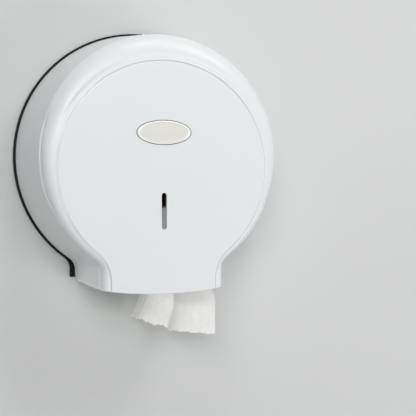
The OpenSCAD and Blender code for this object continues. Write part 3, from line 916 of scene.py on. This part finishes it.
class DISPENSER_OT_roll(Operator):
    """Builds the paper roll with its wound ends"""

    bl_idname = "dispenser.roll"
    bl_label = "Paper roll"

    def execute(self, context):
        c = context.scene.dispenser_colours
        core_low, core_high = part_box("roll_core")
        bore = (core_high[2] - core_low[2]) / 2
        near, far = ROLL_HIGH[1], ROLL_LOW[1]
        # One end as (radius, sunk): rings that stand a little proud of one another, then the rounded edge.
        rng = random.Random(7)
        steps, unevenness = 40, 0.00035
        end = [(mix(bore, ROLL_RADIUS, i / steps), rng.uniform(0.0, unevenness)) for i in range(1, steps)]
        end += [(ROLL_RADIUS - 0.0012, 0.0003), (ROLL_RADIUS - 0.0003, 0.0012), (ROLL_RADIUS, 0.003)]
        # The closed profile as (radius, y): out over the near end, along the outside, back over the far end, inside.
        profile = [(bore, near)] + [(r, near - sunk) for r, sunk in end]
        profile += [(ROLL_RADIUS - 0.0001, mix(near, far, 0.35)), (ROLL_RADIUS, mix(near, far, 0.7))]
        profile += [(r, far + sunk) for r, sunk in reversed(end)]
        profile += [(bore, far), (bore, mix(near, far, 0.5))]
        turns = [2 * math.pi * i / ROLL_SIDES for i in range(ROLL_SIDES)]
        rings = [[Vector((r * math.cos(a), y, ROLL_Z + r * math.sin(a))) for a in turns] for r, y in profile]
        roll = stacked_rings("wound_roll", rings, bore, (0, near, ROLL_Z))
        smooth(roll, 45)
        dress(roll, material_for("roll", wound_tissue, c.tissue), "roll", "paper", "paper_roll")
        return {"FINISHED"}


def hang(peel, bend, wrap, run):
    """Where a sheet's mid line is after a run from its upper end, as x, z and how far down it hangs free. It lies on
    the roll for the angle wrap, leaves it at the angle peel, turns round a bend and hangs straight down."""
    clearance = 0.0003
    radius = ROLL_RADIUS + clearance
    peel, wrap = math.radians(peel), math.radians(wrap)
    if run < radius * wrap:
        a = peel + wrap - run / radius
        return radius * math.cos(a), ROLL_Z + radius * math.sin(a), 0.0
    run -= radius * wrap
    cx = (radius + bend) * math.cos(peel)
    cz = ROLL_Z + (radius + bend) * math.sin(peel)
    if run < -bend * peel:
        a = math.pi + peel + run / bend
        return cx + bend * math.cos(a), cz + bend * math.sin(a), 0.0
    run += bend * peel
    return cx - bend, cz - run, run


def wave(u):
    """A sine wave that starts again at every whole number."""
    return math.sin(2 * math.pi * u)


def torn(u):
    """How far the torn edge rises at u, from a few fixed waves of (height, pace, start)."""
    waves = ((0.0012, 23, 0.6), (0.0009, 57, 2.1), (0.0006, 131, 0), (0.0004, 263, 1.3))
    return sum(height * math.sin(pace * u + start) for height, pace, start in waves)


def hanging_sheet(name, rows, columns, place, thickness):
    """A sheet from a grid, each point put in place by the function given, then thickened."""
    deselect()
    bpy.ops.mesh.primitive_grid_add(x_subdivisions=columns, y_subdivisions=rows, size=1)
    obj = new_piece(name)
    width = columns + 1
    for i, vertex in enumerate(obj.data.vertices):
        u, v = (i % width) / columns, (i // width) / rows
        vertex.co = place(u, v)
    solid = obj.modifiers.new("thickness", "SOLIDIFY")
    solid.thickness = thickness
    solid.offset = 0
    apply_modifiers(obj)
    face_outwards(obj)
    smooth(obj, 70)
    return obj


class DISPENSER_OT_paper(Operator):
    """Builds the torn paper end and the loose inner ply that hang out of the neck"""

    bl_idname = "dispenser.paper"
    bl_label = "Hanging paper"

    def execute(self, context):
        s, c = context.scene.dispenser_sizes, context.scene.dispenser_colours
        near, far = ROLL_HIGH[1], ROLL_LOW[1]
        finish = material_for("tissue", tissue_sheet, c.tissue)
        flap_length, ply_length = 0.0875, 0.109

        def flap(u, v):
            """A point of the torn end: u runs from the wall to the front, v from the roll down to the torn edge."""
            x, z, down = hang(-78.0, 0.014, 10.0, v * flap_length)
            fall = min(1.0, down / 0.052)
            # The rear edge swings to the left, the front edge first to the right and then back.
            rear_swing = -0.0185 * fall**1.5
            front_swing = 0.0055 * eased(fall / 0.35) - 0.0065 * eased((fall - 0.55) / 0.45)
            # Narrow pleats at the rear, a faint ripple all over, and one wide fold towards the front.
            pleats = 0.0013 * (1 - eased((u - 0.20) / 0.15)) * wave(8.5 * u - 0.7 * v + 0.1)
            ripple = 0.0004 * wave(13.1 * u + 0.9 * v)
            fold = 0.0046 * eased((u - 0.62 - 0.05 * v) / 0.16) - 0.0034 * eased((u - 0.28 - 0.05 * v) / 0.34)
            fold -= 0.0012 * eased((u - 0.88) / 0.08)
            x += mix(rear_swing, front_swing, u) + fall * (pleats + ripple + fold)
            z += 0.55 * fall * torn(u) * v**6
            y = mix(near, far, u) * (1 - 0.02 * fall) - 0.0008 * fall
            return Vector((x, y, z))

        def ply(u, v):
            """A point of the loose ply, which turns a little on its way down."""
            x, z, down = hang(-56.3, 0.014, 8.0, v * ply_length)
            twist = eased(down / 0.045)
            sway = 0.0007 * wave(1.3 * u + 0.2) + 0.0004 * wave(3.1 * u - 0.4 * v)
            x += twist * (mix(-0.0145, 0.0145, u) + sway)
            y = mix(near, far, u) + twist * mix(-0.0024, 0.0024, u)
            z += mix(-0.003, 0.004, u) * eased(down / 0.08) + 0.4 * twist * torn(1 - u) * v**8
            return Vector((x, y, z))

        sheet = hanging_sheet("torn_end", 90, 90, flap, s.sheet_thickness)
        dress(sheet, finish, "base", "paper", "paper_tail")
        loose = hanging_sheet("loose_ply", 80, 70, ply, s.sheet_thickness)
        dress(loose, finish, "base", "paper")
        for piece in (sheet, loose):
            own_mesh(piece)
        return {"FINISHED"}


class DISPENSER_OT_frame_finishes(Operator):
    """Gives every CAD node that stays in view its finish"""

    bl_idname = "dispenser.frame_finishes"
    bl_label = "Frame finishes"

    def execute(self, context):
        c = context.scene.dispenser_colours
        # Metals are given their colour, their roughness and the spacing of their scratches in millimetres.
        zinc = material_for("zinc", plain_metal, "Zinc-plated steel", "#A9ACAF", 0.34, 1.2)
        chrome = material_for("chrome", plain_metal, "Chrome-plated die casting", "#C9CBCD", 0.12, 0.9)
        finishes = {
            material_for("base", moulded_black_abs, c.base): "back_plate spindle_post spindle_cap",
            material_for("acetal", moulded_acetal, "#E6E6E0"): "core_sleeve thrust_washer",
            material_for("board", wound_board, c.board): "roll_core",
            chrome: "lock_housing lock_plug",
            zinc: "lock_nut lock_cam cam_screw strike_bracket strike_screws hinge_pins spindle_screws cap_screw",
        }
        for finish, names in finishes.items():
            for name in names.split():
                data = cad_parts[name].data
                data.materials.clear()
                data.materials.append(finish)
        return {"FINISHED"}


class DISPENSER_OT_stage(Operator):
    """Sets the pale wall and floor, the soft lamps and the camera"""

    bl_idname = "dispenser.stage"
    bl_label = "Stage"

    def execute(self, context):
        c = context.scene.dispenser_colours
        plaster = painted_plaster(c.wall)
        wall = self.backdrop(context.scene.dispenser_sizes)
        deselect()
        bpy.ops.mesh.primitive_plane_add(size=10, location=(0, 0, -1.1))
        floor = new_piece("stage_floor")
        for piece in (wall, floor):
            piece.data.materials.append(plaster)
        # Soft discs of light, and two narrow beams with soft edges for the paper in the cover's shade.
        drum, neck, paper = (0, -0.05, 0), (0, -0.05, -0.05), (0.012, -0.065, -0.197)
        soft_edge = {"spot_blend": 1.0, "shadow_soft_size": 0.08}
        self.lamp("key", (0.85, -1.1, 1.25), drum, 8.2, "AREA", shape="DISK", size=0.8)
        self.lamp("top", (0.1, -0.9, 1.7), drum, 5.6, "AREA", shape="DISK", size=0.4)
        self.lamp("low_right", (1.0, -1.35, -0.65), neck, 6, "AREA", shape="DISK", size=0.8)
        self.lamp("front", (-0.55, -2.07, 0.62), drum, 18.8, "AREA", shape="DISK", size=1.1)
        self.lamp("paper_low", (-0.66, -0.05, -0.93), paper, 46, "SPOT", spot_size=math.radians(8), **soft_edge)
        self.lamp("paper_left", (-0.95, -0.045, -0.55), paper, 24, "SPOT", spot_size=math.radians(7), **soft_edge)
        self.lamp("rear", (0.7, 1.6, 0.9), (0, 0, 0), 14, "AREA", shape="DISK", size=0.8)
        world = bpy.data.worlds.new("Soft room")
        context.scene.world = world
        world.use_nodes = True
        back = world.node_tree.nodes["Background"]
        back.inputs["Color"].default_value = linear("#F2F4F6")
        back.inputs["Strength"].default_value = 0.20
        # The photograph's view: a long lens, to the left of the middle and turned down by a little.
        turned_down, turned_right = 2.356, 18.162
        data = bpy.data.cameras.new("camera")
        data.lens = 91.04
        data.sensor_width = 36
        camera = self.link("camera", data)
        camera.location = (-0.29395, -1.15662, -0.00799)
        camera.rotation_euler = Euler((math.radians(90 - turned_down), 0, math.radians(-turned_right)), "XYZ")
        context.scene.camera = camera
        context.scene.view_settings.view_transform = "Standard"
        return {"FINISHED"}

    def backdrop(self, s):
        """A wall with an opening that the back plate covers, so that the plate's back can be seen too."""
        low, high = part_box("back_plate")
        depth, covered = 0.0006, 0.006
        radius, half, bottom = high[0] - covered, s.neck_half - 0.004, -low[2] - covered
        outline = open_outline(s, radius, 0.0, half, s.corner_radius, bottom)
        deselect()
        bpy.ops.mesh.primitive_circle_add(vertices=len(outline), radius=radius, rotation=(math.pi / 2, 0, 0))
        wall = new_piece("stage_wall")
        number_ring(wall)
        place_selected(wall, [Vector((x, depth, z)) for x, z in outline], 0)
        for k, reach in enumerate((0.4, 1.2, 5.0), 1):
            far = [Vector((x, 0, z)).normalized() * reach for x, z in outline]
            extrude_edges(wall, [Vector((p.x, depth, p.z)) for p in far], k)
        face_outwards(wall)
        if wall.data.polygons[0].normal.y > 0:
            edit_all(wall)
            bpy.ops.mesh.flip_normals()
            bpy.ops.object.mode_set(mode="OBJECT")
        return wall

    def link(self, name, data):
        made = bpy.data.objects.new(name, data)
        bpy.context.collection.objects.link(made)
        return made

    def lamp(self, name, place, aim, power, kind, **settings):
        """Adds a lamp that looks at its aim, with the settings of its own kind."""
        data = bpy.data.lights.new(name, kind)
        data.energy = power
        for key, value in settings.items():
            setattr(data, key, value)
        made = self.link(name, data)
        made.location = place
        made.rotation_euler = (Vector(aim) - Vector(place)).to_track_quat("-Z", "Y").to_euler()


class DISPENSER_PT_panel(Panel):
    """Lists the dispenser's pieces"""

    bl_idname = "DISPENSER_PT_panel"
    bl_label = "Dispenser"
    bl_space_type = "VIEW_3D"
    bl_region_type = "UI"
    bl_category = "Dispenser"

    def draw(self, context):
        for group in (context.scene.dispenser_sizes, context.scene.dispenser_colours):
            box = self.layout.box()
            for name in group.bl_rna.properties.keys():
                if name not in ("rna_type", "name"):
                    box.prop(group, name)
        for operator in OPERATORS:
            self.layout.operator(operator.bl_idname)


OPERATORS = (
    DISPENSER_OT_frame_finishes,
    DISPENSER_OT_cover,
    DISPENSER_OT_badge,
    DISPENSER_OT_roll,
    DISPENSER_OT_paper,
    DISPENSER_OT_stage,
)
CLASSES = (DispenserSizes, DispenserColours) + OPERATORS + (DISPENSER_PT_panel,)


def register():
    for item in CLASSES:
        bpy.utils.register_class(item)
    bpy.types.Scene.dispenser_sizes = PointerProperty(type=DispenserSizes)
    bpy.types.Scene.dispenser_colours = PointerProperty(type=DispenserColours)


def unregister():
    del bpy.types.Scene.dispenser_colours
    del bpy.types.Scene.dispenser_sizes
    for item in reversed(CLASSES):
        bpy.utils.unregister_class(item)


def main():
    register()
    bpy.ops.dispenser.frame_finishes()
    bpy.ops.dispenser.cover()
    bpy.ops.dispenser.badge()
    bpy.ops.dispenser.roll()
    bpy.ops.dispenser.paper()
    bpy.ops.dispenser.stage()


if __name__ == "__main__":
    main()
